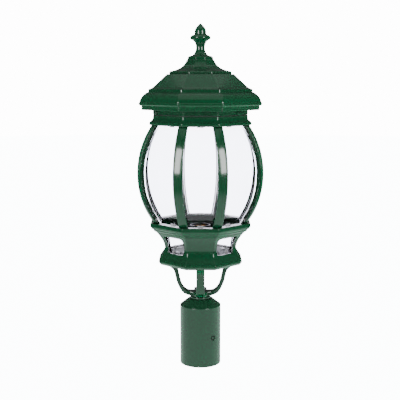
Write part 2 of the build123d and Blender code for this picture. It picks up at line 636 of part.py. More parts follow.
def roof_screw(azimuth, along):
    """Dome-head screw through the roof's skirt; its point stops just short of the spigot."""
    ratio = 1.0 if azimuth in NARROW_AZIMUTHS else WIDE_RATIO
    tip = SPIGOT_R * ratio + BODY_GAP
    seat = SKIRT_R * ratio + BODY_GAP
    dome = turning([(0, 0), (ROOF_SCREW_HEAD_R, 0), (ROOF_SCREW_HEAD_R, 0.6),
                    ((ROOF_SCREW_HEAD_R, ROOF_SCREW_HEAD_HEIGHT - 0.4), (2, ROOF_SCREW_HEAD_HEIGHT),
                     (0, ROOF_SCREW_HEAD_HEIGHT))])
    key = Pos(0, 0, ROOF_SCREW_HEAD_HEIGHT - 1.6) * extrude(RegularPolygon(1.8, 6), 3)
    head = turned(Pos(seat, along, ROOF_SCREW_Z) * Rot(0, 90, 0) * (dome - key), azimuth)
    return head + spoke(ROOF_SCREW_R, tip, seat + 0.5, ROOF_SCREW_Z, azimuth, along)


def roof_cap():
    """Eight-sided hollow bell on a flat rim, on top of the roof."""
    body = octagon_ring([
        (CAP_PLATE_R, ROOF_TOP_Z), (CAP_PLATE_R, 514.8), (51.3, 516.5),
        ((36.2, 519), (27.1, 525.1), (23.8, 534.7)), (22.1, 536), (21.5, 539.6),
        ((20.9, 542), (17.1, 542.6), (14.6, CAP_TOP_Z)), (0, CAP_TOP_Z), (0, 531.7), (19.5, 531.7),
        ((22.9, 521.4), (32.4, 516.2), (49.1, 513.4)), (49.1, ROOF_TOP_Z),
    ])
    return body - rod(STUD_R + SEAT_GAP, 0, 3 * REACH)


def finial():
    """Turned acorn finial on a disc and a waisted neck."""
    body = turning([
        (0, CAP_TOP_Z), (14.1, CAP_TOP_Z), ((10, 546.2), (7.5, 550.9), (7.5, 556.4)),
        ((7.5, 562.6), (10, 567.3), (14.4, 569.4)), ((17.3, 570.3), (18.5, 572.9), (16.7, 575.1)),
        ((15.7, 576.6), (13.3, 577.9), (10.4, 578.5)), ((9.5, 580), (10.4, 582.2), (9.7, 584.5)),
        ((9.1, 589.2), (5.2, 592.9), (1.1, 597)), (0, FINIAL_TIP_Z),
    ])
    return body - rod(STUD_R + SCREW_GAP, CAP_TOP_Z - 1, STUD_TOP_Z + 1)


def finial_stud():
    """Threaded rod that ties finial, cap and roof together."""
    return rod(STUD_R, STUD_BOTTOM_Z, STUD_TOP_Z)


def finial_washer():
    """Washer under the roof's ceiling."""
    ceiling_z = ROOF_TOP_Z - ROOF_WALL
    return tube(STUD_WASHER_R, STUD_R + SEAT_GAP, ceiling_z - STUD_WASHER_HEIGHT, ceiling_z)


def finial_nut():
    """Nut that pulls the stud down."""
    top = ROOF_TOP_Z - ROOF_WALL - STUD_WASHER_HEIGHT
    return hex_nut(STUD_NUT_R, STUD_R + SCREW_GAP, top - STUD_NUT_HEIGHT, STUD_NUT_HEIGHT)


def pieces():
    """Every sub-part by name."""
    made = {
        "post_socket": post_socket(), "neck_ring": neck_ring(), "stem": stem(),
        "stem_nuts": stem_nuts(), "stem_washer": stem_washer(), "arm_yoke": arm_yoke(),
        "yoke_screws": yoke_screws(), "lower_cage": lower_cage(),
        "lower_pane_clips": lower_pane_clips(), "gear_tray": gear_tray(),
        "tray_pillars": tray_pillars(), "tray_screws": tray_screws(),
        "cable_grommet": cable_grommet(), "terminal_block": terminal_block(),
        "terminal_screws": terminal_screws(), "lampholder_base": lampholder_base(),
        "lampholder_shell": lampholder_shell(), "lampholder_block": lampholder_block(),
        "lampholder_thread": lampholder_thread(), "lampholder_contact": lampholder_contact(),
        "waist_ring": waist_ring(), "waist_screws": waist_screws(), "rib_screws": rib_screws(),
        "pane_clips": pane_clips(), "top_collar": top_collar(), "roof_gasket": roof_gasket(),
        "roof": roof(), "roof_cap": roof_cap(), "finial": finial(), "finial_stud": finial_stud(),
        "finial_washer": finial_washer(), "finial_nut": finial_nut(),
    }
    for number in range(3):
        made[f"clamp_screw_{number + 1}"] = clamp_screw(CLAMP_AZIMUTH + 120 * number)
        made[f"roof_screw_{number + 1}"] = roof_screw(*ROOF_SCREWS[number])
    for number, azimuth in enumerate(WIDE_AZIMUTHS, 1):
        made[f"lower_pane_{number}"] = lower_pane(azimuth)
        made[f"wide_pane_{number}"] = globe_pane(azimuth, WIDE_HALF_ANGLE)
    for number, azimuth in enumerate(NARROW_AZIMUTHS, 1):
        made[f"narrow_pane_{number}"] = globe_pane(azimuth, NARROW_HALF_ANGLE)
    for number, azimuth in enumerate(RIB_AZIMUTHS, 1):
        made[f"rib_{number}"] = rib(azimuth)
    return made


def main():
    """Write every sub-part to its own file."""
    os.makedirs("parts", exist_ok=True)
    for name, shape in pieces().items():
        export_step(shape, f"parts/{name}.step")


main()
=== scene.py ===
"""Post-top lantern: finished castings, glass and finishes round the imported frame.

Lengths are millimetres in the outlines and metres in Blender. Heights start at the socket's rim, and a
radius is the distance from the lantern's axis to one of its four narrow sides. The front faces -Y.
"""
import json
import math

import bmesh
import bpy
from bpy.props import FloatProperty, IntProperty, PointerProperty, StringProperty
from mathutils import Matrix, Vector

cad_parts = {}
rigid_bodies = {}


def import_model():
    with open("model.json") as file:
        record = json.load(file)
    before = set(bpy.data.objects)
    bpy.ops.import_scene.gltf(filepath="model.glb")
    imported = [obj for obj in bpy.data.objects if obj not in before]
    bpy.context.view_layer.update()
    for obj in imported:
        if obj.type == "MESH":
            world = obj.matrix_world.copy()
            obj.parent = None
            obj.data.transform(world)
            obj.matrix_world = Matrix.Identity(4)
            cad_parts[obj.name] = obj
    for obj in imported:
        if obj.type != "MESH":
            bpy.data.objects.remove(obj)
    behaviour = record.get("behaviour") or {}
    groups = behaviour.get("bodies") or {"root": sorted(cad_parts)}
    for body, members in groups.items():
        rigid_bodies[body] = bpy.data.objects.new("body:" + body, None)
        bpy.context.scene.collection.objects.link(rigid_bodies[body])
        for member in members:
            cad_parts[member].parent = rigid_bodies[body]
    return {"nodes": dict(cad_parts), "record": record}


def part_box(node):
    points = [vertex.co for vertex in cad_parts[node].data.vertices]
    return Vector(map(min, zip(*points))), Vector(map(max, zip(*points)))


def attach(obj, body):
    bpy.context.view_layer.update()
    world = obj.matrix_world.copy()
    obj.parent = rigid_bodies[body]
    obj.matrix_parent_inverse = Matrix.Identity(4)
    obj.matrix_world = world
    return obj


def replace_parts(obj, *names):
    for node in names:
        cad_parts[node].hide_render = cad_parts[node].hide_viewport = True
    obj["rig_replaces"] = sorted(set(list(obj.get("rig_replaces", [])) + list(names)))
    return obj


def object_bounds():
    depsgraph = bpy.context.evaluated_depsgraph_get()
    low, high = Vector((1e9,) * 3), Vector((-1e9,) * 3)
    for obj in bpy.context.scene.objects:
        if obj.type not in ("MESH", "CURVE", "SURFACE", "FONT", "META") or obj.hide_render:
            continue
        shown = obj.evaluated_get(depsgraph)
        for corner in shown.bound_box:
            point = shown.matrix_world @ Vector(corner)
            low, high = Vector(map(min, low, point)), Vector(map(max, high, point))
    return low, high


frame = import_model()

CAD_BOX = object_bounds()

bl_info = {
    "name": "Post-top lantern",
    "version": (1, 0, 0),
    "blender": (4, 5, 0),
    "location": "View3D > Sidebar > Lantern",
    "description": "Builds an eight-sided cast post-top lantern round its packed frame",
    "category": "Object",
}

MM = 0.001
NARROW_HALF = math.radians(19.7)
WIDE_HALF = math.radians(45) - NARROW_HALF
WIDE_RATIO = math.cos(WIDE_HALF) / math.cos(NARROW_HALF)
EIGHTH = math.radians(45)
QUARTER = math.radians(90)

# How finely shapes are drawn.
SHARP_TURN = math.radians(24)
PANE_SHARP = math.radians(40)
WINDOW_SHARP = math.radians(50)
CURVE_STEPS = 12
EASING_STEPS = 4
SPIN_STEPS = 112
CORNER_STEPS = 6
ARM_STEPS = 44
RIB_STEPS = 56
PANE_STEPS = 40
MERGE = 0.002
ON_AXIS = 1e-6

# Shared sizes, in millimetres.
STEM_HOLE_R = 6.65
STUD_HOLE_R = 4.15
CLAMP_AZIMUTH = 38.5
CAGE_WAIST_R = 61.9
RIM_OPENING_R = 61
GLOBE_RIM_R = 84.3
GLOBE_WIDEST_R = 112.6
GLOBE_MIDDLE_Z = 342.9
GLOBE_OPENING_R = 67.4
SKIRT_R = 80.6
SPIGOT_R = 76.3
PANE_THICKNESS = 3
PANE_EDGE = 0.35
LOWER_PANE_LEAN = 0.148
FLOOR_R = 6000


def foot(node):
    """Lowest height of a CAD node, in millimetres."""
    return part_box(node)[0][2] / MM


def head(node):
    """Highest height of a CAD node, in millimetres."""
    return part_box(node)[1][2] / MM


def reach(node):
    """Distance from the axis to the outermost side of a CAD node, in millimetres."""
    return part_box(node)[1][0] / MM


# ---------------------------------------------------------------- outlines and meshes


def bezier(points, steps=CURVE_STEPS):
    """Points along a Bezier curve, without its first."""
    found = []
    for step in range(1, steps + 1):
        row, t = list(points), step / steps
        while len(row) > 1:
            row = [(a[0] + (b[0] - a[0]) * t, a[1] + (b[1] - a[1]) * t) for a, b in zip(row, row[1:])]
        found.append(row[0])
    return found


def outline(steps):
    """Points of an outline. A step of several points is a Bezier curve to the last of them."""
    points = [steps[0]]
    for step in steps[1:]:
        curved = isinstance(step[0], tuple)
        points += bezier([points[-1], *step]) if curved else [step]
    return points


def eased(points, radius):
    """Closed outline with each sharp corner rounded off, as castings and pressed edges are."""
    result = []
    count = len(points)
    for index, here in enumerate(points):
        before, after = points[index - 1], points[(index + 1) % count]
        back = (before[0] - here[0], before[1] - here[1])
        ahead = (after[0] - here[0], after[1] - here[1])
        back_length, ahead_length = math.hypot(*back), math.hypot(*ahead)
        cosine = -(back[0] * ahead[0] + back[1] * ahead[1]) / (back_length * ahead_length)
        turn = math.acos(max(-1, min(1, cosine)))
        if turn < SHARP_TURN or abs(here[0]) < ON_AXIS:
            result.append(here)
            continue
        cut = min(radius * math.tan(min(turn, 2.4) / 2), 0.45 * back_length, 0.45 * ahead_length)
        start = tuple(here[k] + back[k] * cut / back_length for k in (0, 1))
        end = tuple(here[k] + ahead[k] * cut / ahead_length for k in (0, 1))
        result += [start, *bezier([start, here, end], EASING_STEPS)]
    return result


def octagon(radius, rounding):
    """Plan of the lantern at a radius, with its eight corners rounded, anticlockwise."""
    points = []
    easing = min(rounding, radius / 2)
    for quarter in range(4):
        turn = quarter * QUARTER
        for normal, corner in ((turn, turn + NARROW_HALF), (turn + EIGHTH, turn + QUARTER - NARROW_HALF)):
            far = radius / math.cos(NARROW_HALF)
            middle = normal + EIGHTH / 2
            pull = easing / math.cos(EIGHTH / 2)
            centre = (far * math.cos(corner) - pull * math.cos(middle),
                      far * math.sin(corner) - pull * math.sin(middle))
            for step in range(CORNER_STEPS + 1):
                angle = normal + EIGHTH * step / CORNER_STEPS
                points.append((centre[0] + easing * math.cos(angle), centre[1] + easing * math.sin(angle)))
    return points


def circle(radius, steps=SPIN_STEPS):
    """Round plan at a radius."""
    angles = [2 * math.pi * step / steps for step in range(steps)]
    return [(radius * math.cos(angle), radius * math.sin(angle)) for angle in angles]


def new_object(name, mesh):
    """Object in the scene for a finished mesh."""
    piece = bpy.data.objects.new(name, mesh)
    bpy.context.scene.collection.objects.link(piece)
    return piece


def finished(name, built, weighted=True):
    """Object from a bmesh in millimetres: doubles merged, faces outward, smooth."""
    bmesh.ops.remove_doubles(built, verts=built.verts, dist=MERGE)
    bmesh.ops.recalc_face_normals(built, faces=built.faces)
    bmesh.ops.scale(built, vec=(MM, MM, MM), verts=built.verts)
    mesh = bpy.data.meshes.new(name)
    built.to_mesh(mesh)
    built.free()
    mesh.shade_smooth()
    piece = new_object(name, mesh)
    if weighted:
        add_weighting(piece)
    return piece


def add_weighting(piece):
    """Let the large faces set the shading, so that flats stay flat beside rounded edges."""
    weighting = piece.modifiers.new("Weighted normals", "WEIGHTED_NORMAL")
    weighting.weight = 80
    weighting.thresh = 0.02
    weighting.keep_sharp = True


def skin(built, loops, closed=False):
    """Skin loops of equal length in a bmesh, and cap the ends unless the skin closes on itself."""
    rings = [[built.verts.new(point) for point in loop] for loop in loops]
    pairs = list(zip(rings, rings[1:])) + ([(rings[-1], rings[0])] if closed else [])
    for lower, upper in pairs:
        for index in range(len(lower)):
            after = (index + 1) % len(lower)
            built.faces.new((lower[index], lower[after], upper[after], upper[index]))
    if not closed:
        built.faces.new(rings[0][::-1])
        built.faces.new(rings[-1])


def swept(name, points, plan):
    """Ring or solid with this closed outline, swept round a plan. An outline may touch the axis."""
    built = bmesh.new()
    loops = [[(x, y, height) for x, y in plan(max(radius, 2 * MERGE))] for radius, height in points]
    on_axis = [abs(radius) < ON_AXIS for radius, height in points]
    if any(on_axis):
        first = on_axis.index(False)
        while on_axis[first - 1] is False:
            first -= 1
        loops = loops[first:] + loops[:first]
        solid = [loop for loop, axis in zip(loops, on_axis[first:] + on_axis[:first]) if not axis]
        skin(built, solid)
    else:
        skin(built, loops, closed=True)
    return finished(name, built)


def cast(name, steps, edge=0.7, corner=0.07):
    """Eight-sided casting with this outline: corners of its plan rounded in proportion to its radius."""
    return swept(name, eased(outline(steps), edge), lambda radius: octagon(radius, corner * radius))


def turned(name, steps, edge=0.5):
    """Piece turned about the lantern's axis."""
    return swept(name, eased(outline(steps), edge), circle)


def prism(built, flat, thickness, place):
    """Solid in a bmesh from a closed outline in a plane; place takes (u, v, depth) to a point."""
    skin(built, [[place(u, v, depth) for u, v in flat] for depth in (0, thickness)])


def joined(name, parts):
    """One object from several, which are removed."""
    built = bmesh.new()
    for part in parts:
        built.from_mesh(part.data)
        bpy.data.objects.remove(part)
    mesh = bpy.data.meshes.new(name)
    built.to_mesh(mesh)
    built.free()
    mesh.shade_smooth()
    return new_object(name, mesh)


def applied(piece):
    """Replace a piece's mesh with its evaluated one and drop its modifiers."""
    evaluated = piece.evaluated_get(bpy.context.evaluated_depsgraph_get())
    mesh = bpy.data.meshes.new_from_object(evaluated)
    piece.modifiers.clear()
    piece.data = mesh
    return piece


# ---------------------------------------------------------------- copies by Geometry Nodes


def add(tree, kind, values=None, links=None, **settings):
    """Add a node to a tree, with its settings, its sockets' values and the sockets linked to it."""
    node = tree.nodes.new(kind)
    for name, value in settings.items():
        setattr(node, name, value)
    for socket, value in (values or {}).items():
        node.inputs[socket].default_value = value
    for socket, source in (links or {}).items():
        tree.links.new(source, node.inputs[socket])
    return node


def copies_tree():
    """Tree that sets copies of a piece round the lantern's axis.

    Copy number n stands at Start + n turns of 360/Copies, moved by Stagger one way if n is even and the
    other way if it is odd, because the corners of the plan aren't evenly spaced.
    """
    tree = bpy.data.node_groups.new("Copies round the axis", "GeometryNodeTree")
    face = tree.interface
    face.new_socket("Geometry", in_out="INPUT", socket_type="NodeSocketGeometry")
    for name, kind in (("Copies", "NodeSocketInt"), ("Start", "NodeSocketFloat"),
                       ("Stagger", "NodeSocketFloat"), ("Offset", "NodeSocketVector"),
                       ("Material", "NodeSocketMaterial")):
        face.new_socket(name, in_out="INPUT", socket_type=kind)
    face.new_socket("Geometry", in_out="OUTPUT", socket_type="NodeSocketGeometry")
    asked = add(tree, "NodeGroupInput").outputs
    placed = add(tree, "GeometryNodeTransform",
                 links={"Geometry": asked["Geometry"], "Translation": asked["Offset"]})
    points = add(tree, "GeometryNodePoints", links={"Count": asked["Copies"]})
    number = add(tree, "GeometryNodeInputIndex").outputs["Index"]
    step = add(tree, "ShaderNodeMath", {0: 2 * math.pi}, {1: asked["Copies"]}, operation="DIVIDE")
    even = add(tree, "ShaderNodeMath", {1: 2}, {0: number}, operation="MODULO")
    sign = add(tree, "ShaderNodeMath", {1: -2, 2: 1}, {0: even.outputs[0]}, operation="MULTIPLY_ADD")
    start = add(tree, "ShaderNodeMath", None,
                {0: sign.outputs[0], 1: asked["Stagger"], 2: asked["Start"]}, operation="MULTIPLY_ADD")
    angle = add(tree, "ShaderNodeMath", None,
                {0: number, 1: step.outputs[0], 2: start.outputs[0]}, operation="MULTIPLY_ADD")
    turn = add(tree, "ShaderNodeCombineXYZ", None, {"Z": angle.outputs[0]})
    copies = add(tree, "GeometryNodeInstanceOnPoints", None,
                 {"Points": points.outputs[0], "Instance": placed.outputs[0], "Rotation": turn.outputs[0]})
    real = add(tree, "GeometryNodeRealizeInstances", None, {"Geometry": copies.outputs[0]})
    painted = add(tree, "GeometryNodeSetMaterial", None,
                  {"Geometry": real.outputs[0], "Material": asked["Material"]})
    add(tree, "NodeGroupOutput", None, {"Geometry": painted.outputs[0]})
    return tree


def copied(piece, material, copies=1, start=0.0, stagger=0.0, offset=(0, 0, 0)):
    """Turn a piece made facing +X into copies round the axis. Angles run from +X towards +Y."""
    tree = bpy.data.node_groups.get("Copies round the axis") or copies_tree()
    modifier = piece.modifiers.new("Copies", "NODES")
    modifier.node_group = tree
    wanted = {"Copies": copies, "Start": start, "Stagger": stagger,
              "Offset": [length * MM for length in offset], "Material": material}
    for item in tree.interface.items_tree:
        if item.item_type == "SOCKET" and item.in_out == "INPUT" and item.name in wanted:
            modifier[item.identifier] = wanted[item.name]
    applied(piece)
    piece.data.shade_smooth()
    add_weighting(piece)
    return piece


def from_front(azimuth):
    """Angle from +X of a direction given in degrees from the front towards +X."""
    return math.radians(azimuth - 90)


# ---------------------------------------------------------------- materials


def linear(code):
    """Linear colour of an sRGB hex code."""
    parts = [int(code[start:start + 2], 16) / 255 for start in (1, 3, 5)]
    return tuple(c / 12.92 if c <= 0.04045 else ((c + 0.055) / 1.055) ** 2.4 for c in parts) + (1.0,)


def new_finish(name, **values):
    """Material with a Principled shader: (material, tree, shader, object coordinates)."""
    material = bpy.data.materials.new(name)
    material.use_nodes = True
    tree = material.node_tree
    shader = tree.nodes["Principled BSDF"]
    for socket, value in values.items():
        shader.inputs[socket.replace("_", " ")].default_value = value
    place = add(tree, "ShaderNodeTexCoord").outputs["Object"]
    return material, tree, shader, place


def noise(tree, place, size_mm, detail=3.0, roughness=0.5):
    """Noise whose features are about this many millimetres across."""
    values = {"Scale": 1 / (size_mm * MM), "Detail": detail, "Roughness": roughness}
    return add(tree, "ShaderNodeTexNoise", values, {"Vector": place}).outputs["Fac"]


def ramp(tree, value, low, high, start, end):
    """Value mapped from low..high to start..end."""
    limits = {"From Min": low, "From Max": high, "To Min": start, "To Max": end}
    return add(tree, "ShaderNodeMapRange", limits, {"Value": value}).outputs["Result"]


def blend(tree, factor, first, second):
    """Colour between two hex codes or sockets."""
    node = add(tree, "ShaderNodeMix", data_type="RGBA")
    tree.links.new(factor, node.inputs["Factor"])
    colours = [s for s in node.inputs if s.type == "RGBA"]
    for socket, colour in zip(colours, (first, second)):
        if isinstance(colour, str):
            socket.default_value = linear(colour)
        else:
            tree.links.new(colour, socket)
    return [s for s in node.outputs if s.type == "RGBA"][0]


def tint(tree, shader, factor, first, second):
    """Colour a shader between two hex codes."""
    tree.links.new(blend(tree, factor, first, second), shader.inputs["Base Color"])


def roughen(tree, shader, value, start, end):
    """Spread a shader's roughness from start to end over a noise."""
    tree.links.new(ramp(tree, value, 0.3, 0.7, start, end), shader.inputs["Roughness"])


def bump(tree, shader, heights):
    """Chain of bumps on a shader: (height socket, depth in millimetres) each."""
    normal = None
    for height, depth in heights:
        node = add(tree, "ShaderNodeBump", {"Strength": 1.0, "Distance": depth * MM}, {"Height": height})
        if normal:
            tree.links.new(normal, node.inputs["Normal"])
        normal = node.outputs["Normal"]
    tree.links.new(normal, shader.inputs["Normal"])


def powder_coated_casting():
    """Cast aluminium under gloss polyester powder coat: deep green, a slight orange peel in every
    highlight, the casting's slow waviness under it, and dust lying on what faces up."""
    colours = bpy.context.scene.lantern_finish
    material, tree, shader, place = new_finish(
        "Gloss green powder coat on cast aluminium", Metallic=0.0, IOR=1.52, Coat_Weight=0.35,
        Coat_Roughness=0.06)
    peel = noise(tree, place, 3.2, 2)
    waves = noise(tree, place, 24, 2)
    tone = noise(tree, place, 60, 4)
    dust = noise(tree, place, 9, 5, 0.65)
    facing = add(tree, "ShaderNodeSeparateXYZ", None,
                 {0: add(tree, "ShaderNodeNewGeometry").outputs["Normal"]}).outputs["Z"]
    upward = ramp(tree, facing, 0.35, 1.0, 0.0, 0.05)
    settled = add(tree, "ShaderNodeMath", None, {0: upward, 1: dust}, operation="MULTIPLY").outputs[0]
    green = blend(tree, ramp(tree, tone, 0.3, 0.7, 0.0, 1.0), colours.coat, colours.coat_light)
    dusty = blend(tree, settled, green, "#8FA096")
    tree.links.new(dusty, shader.inputs["Base Color"])
    gloss = ramp(tree, dust, 0.3, 0.75, 0.13, 0.19)
    rough = add(tree, "ShaderNodeMath", None, {0: gloss, 1: settled}, operation="ADD").outputs[0]
    tree.links.new(rough, shader.inputs["Roughness"])
    bump(tree, shader, ((waves, 0.12), (peel, 0.008)))
    return material


def clear_glass():
    """Float glass bent to shape: clear, hardly tinted, with a slow draw in its surface."""
    material, tree, shader, place = new_finish(
        "Clear bent float glass", Transmission_Weight=1.0, IOR=1.5, Roughness=0.0)
    shader.inputs["Base Color"].default_value = linear("#E9E8EF")
    draw = noise(tree, place, 70, 1)
    bump(tree, shader, ((draw, 0.3),))
    return material


def zinc_plated_steel():
    """Turned and pressed steel, zinc plated and passivated: pale bluish grey with a cloudy bloom."""
    material, tree, shader, place = new_finish("Zinc-plated steel", Metallic=1.0)
    cloud = noise(tree, place, 5, 4)
    tint(tree, shader, cloud, "#A9ADB0", "#C9CCCB")
    roughen(tree, shader, cloud, 0.28, 0.46)
    bump(tree, shader, ((noise(tree, place, 0.8, 2), 0.01),))
    return material


def blackened_steel():
    """Alloy steel screws, black oxide and oil: dark, satin, brown where it is thin."""
    material, tree, shader, place = new_finish("Black oxide alloy steel", Metallic=1.0)
    thin = noise(tree, place, 2.5, 4)
    tint(tree, shader, thin, "#26272A", "#3B3733")
    roughen(tree, shader, thin, 0.32, 0.5)
    bump(tree, shader, ((noise(tree, place, 0.6, 2), 0.008),))
    return material


def natural_nylon():
    """Moulded natural nylon: milky, a little translucent and satin."""
    material, tree, shader, place = new_finish(
        "Natural nylon", Transmission_Weight=0.6, IOR=1.53, Roughness=0.35)
    cloud = noise(tree, place, 2.5, 3)
    tint(tree, shader, cloud, "#EDEBE4", "#F5F4EF")
    bump(tree, shader, ((noise(tree, place, 0.8, 2), 0.01),))
    return material


def grey_painted_sheet():
    """Steel sheet, stoved grey: semi-matt with a fine spray texture."""
    material, tree, shader, place = new_finish("Grey stoved sheet steel", IOR=1.5)
    spray = noise(tree, place, 1.4, 3)
    tone = noise(tree, place, 30, 3)
    tint(tree, shader, tone, "#8B9498", "#969FA2")
    roughen(tree, shader, spray, 0.42, 0.58)
    bump(tree, shader, ((spray, 0.02),))
    return material


def black_rubber():
    """Moulded EPDM rubber: matt black with a talc bloom."""
    material, tree, shader, place = new_finish("Moulded EPDM rubber", IOR=1.5)
    bloom = noise(tree, place, 4, 5, 0.6)
    tint(tree, shader, bloom, "#141414", "#2A2A29")
    roughen(tree, shader, bloom, 0.66, 0.85)
    bump(tree, shader, ((noise(tree, place, 0.7, 2), 0.012),))
    return material


def black_phenolic():
    """Moulded phenolic: near black, brown in its body, with a moulded gloss gone slightly dull."""
    material, tree, shader, place = new_finish("Moulded black phenolic", IOR=1.6)
    body = noise(tree, place, 3, 4)
    tint(tree, shader, body, "#17130F", "#231D18")
    roughen(tree, shader, body, 0.26, 0.42)
    bump(tree, shader, ((noise(tree, place, 1.0, 2), 0.01),))
    return material


def bare_porcelain():
    """Unglazed steatite: off-white, fine-grained and matt."""
    material, tree, shader, place = new_finish("Unglazed steatite", IOR=1.55)
    grain = noise(tree, place, 0.9, 4)
    tint(tree, shader, noise(tree, place, 7, 4), "#E4DFD2", "#D3CCBC")
    roughen(tree, shader, grain, 0.5, 0.68)
    bump(tree, shader, ((grain, 0.015),))
    return material


def spun_brass():
    """Rolled brass: warm yellow, browning in patches."""
    material, tree, shader, place = new_finish("Rolled brass", Metallic=1.0)
    tarnish = noise(tree, place, 4, 5)
    tint(tree, shader, tarnish, "#C9A152", "#A9813B")
    roughen(tree, shader, tarnish, 0.2, 0.42)
    bump(tree, shader, ((noise(tree, place, 0.8, 2), 0.008),))
    return material


def seen_directly(tree):
    """1 for what the camera sees, straight or through glass, and 0 for what lights and reflections see."""
    path = add(tree, "ShaderNodeLightPath").outputs
    bounces = add(tree, "ShaderNodeMath", None, {0: path["Diffuse Depth"], 1: path["Glossy Depth"]},
                  operation="ADD")
    return add(tree, "ShaderNodeMath", {1: 0.5}, {0: bounces.outputs[0]}, operation="LESS_THAN").outputs[0]


def pale_floor():
    """Product table: plain white where it is seen, and dark in reflections bar a pale pool round the
    lantern."""
    sizes = bpy.context.scene.lantern_stage
    material, tree, shader, place = new_finish("Product table", Roughness=0.9)
    tint(tree, shader, noise(tree, place, 300, 2), "#2A2E2F", "#303435")
    distance = add(tree, "ShaderNodeVectorMath", None, {0: place}, operation="LENGTH").outputs["Value"]
    pool = ramp(tree, distance, 0.55, 0.95, sizes.table, 0.0)
    shader.inputs["Emission Color"].default_value = linear("#F4FAFC")
    glow = add(tree, "ShaderNodeMix", {"B": sizes.backdrop},
               {"Factor": seen_directly(tree), "A": pool})
    tree.links.new(glow.outputs[0], shader.inputs["Emission Strength"])
    return material


FINISHES = {
    "green_coat": powder_coated_casting, "clear_glass": clear_glass, "zinc_steel": zinc_plated_steel,
    "black_steel": blackened_steel, "clear_nylon": natural_nylon, "tray_grey": grey_painted_sheet,
    "black_rubber": black_rubber, "black_phenolic": black_phenolic, "porcelain": bare_porcelain,
    "brass": spun_brass, "floor": pale_floor,
}
MADE = {}


def finish(slot):
    """Material of a slot, made once."""
    if slot not in MADE:
        MADE[slot] = FINISHES[slot]()
    return MADE[slot]


def settle(piece, slot, body, *nodes):
    """Give a finished piece the material of a slot, its body and the nodes that it stands for."""
    piece.data.materials.clear()
    piece.data.materials.append(finish(slot))
    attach(piece, body)
    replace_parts(piece, *nodes)


# ---------------------------------------------------------------- sizes and colours


class LanternSizes(bpy.types.PropertyGroup):
    """Sizes that a user would change."""
    corner_rounding: FloatProperty(
        name="Corner rounding", description="Rounding of the plan's corners, as a part of the radius",
        default=7.0, min=1, max=20, subtype="PERCENTAGE")
    casting_edge: FloatProperty(
        name="Casting edge", description="Radius left on the outer edges of the castings",
        default=1.2 * MM, unit="LENGTH")
    rib_crown: FloatProperty(
        name="Rib crown", description="How far the middle of a rib's face stands above its edges",
        default=0.5 * MM, unit="LENGTH")
    rib_count: IntProperty(name="Ribs", description="Number of ribs round the globe", default=8, min=4)
    arm_count: IntProperty(name="Arms", description="Number of arms under the cage", default=4, min=2)


class LanternFinish(bpy.types.PropertyGroup):
    """Colours that a user would change."""
    coat: StringProperty(name="Coat", description="Powder coat, sRGB hex", default="#002A15")
    coat_light: StringProperty(name="Coat, thin", description="Powder coat where it is thin, sRGB hex",
                               default="#00301A")


class LanternStage(bpy.types.PropertyGroup):
    """Camera and light."""
    lens: FloatProperty(name="Lens", description="Focal length on a 36 mm wide sensor", default=77.94,
                        subtype="DISTANCE_CAMERA")
    camera_side: FloatProperty(name="Camera offset", description="Distance to the right of the axis",
                               default=-0.0007, unit="LENGTH")
    camera_back: FloatProperty(name="Camera distance", description="Distance in front of the axis",
                               default=1.5013, unit="LENGTH")
    camera_height: FloatProperty(name="Camera height", description="Height above the socket's rim",
                                 default=0.5101, unit="LENGTH")
    camera_tilt: FloatProperty(name="Camera tilt", description="Tilt below the horizon",
                               default=math.radians(8.213), subtype="ANGLE")
    sky: FloatProperty(name="Reflected room", description="Strength of the surroundings in reflections",
                       default=0.1)
    in_glass: FloatProperty(name="Room in the glass", default=5.0,
                            description="Strength of the surroundings in reflections inside the glass")
    fill: FloatProperty(name="Fill light", description="Strength of the surroundings as light",
                        default=0.4)
    backdrop: FloatProperty(name="Backdrop", description="Strength of the surroundings as seen",
                            default=14.0)
    table: FloatProperty(name="Table light", description="Light from the floor round the lantern",
                         default=1.0)


# ---------------------------------------------------------------- pieces


def casting_edge():
    """Radius of the castings' outer edges, in millimetres."""
    return bpy.context.scene.lantern_sizes.casting_edge / MM


def corner_part():
    """Rounding of the plan's corners, as a part of the radius."""
    return bpy.context.scene.lantern_sizes.corner_rounding / 100


def globe_arc():
    """Centre radius, centre height and arc radius of the globe's outline, in millimetres."""
    bulge, rise = GLOBE_WIDEST_R - GLOBE_RIM_R, GLOBE_MIDDLE_Z - foot("rib_1")
    arc = (bulge**2 + rise**2) / (2 * bulge)
    return GLOBE_WIDEST_R - arc, GLOBE_MIDDLE_Z, arc


def globe_r(height):
    """Outer radius of the ribs at a height."""
    centre, middle, arc = globe_arc()
    return centre + math.sqrt(arc**2 - (height - middle)**2)


def heights(low, high, steps):
    """Evenly spaced heights."""
    return [low + (high - low) * step / steps for step in range(steps + 1)]


class PieceOperator:
    """What all the lantern's operators share."""
    bl_options = {"REGISTER", "UNDO"}


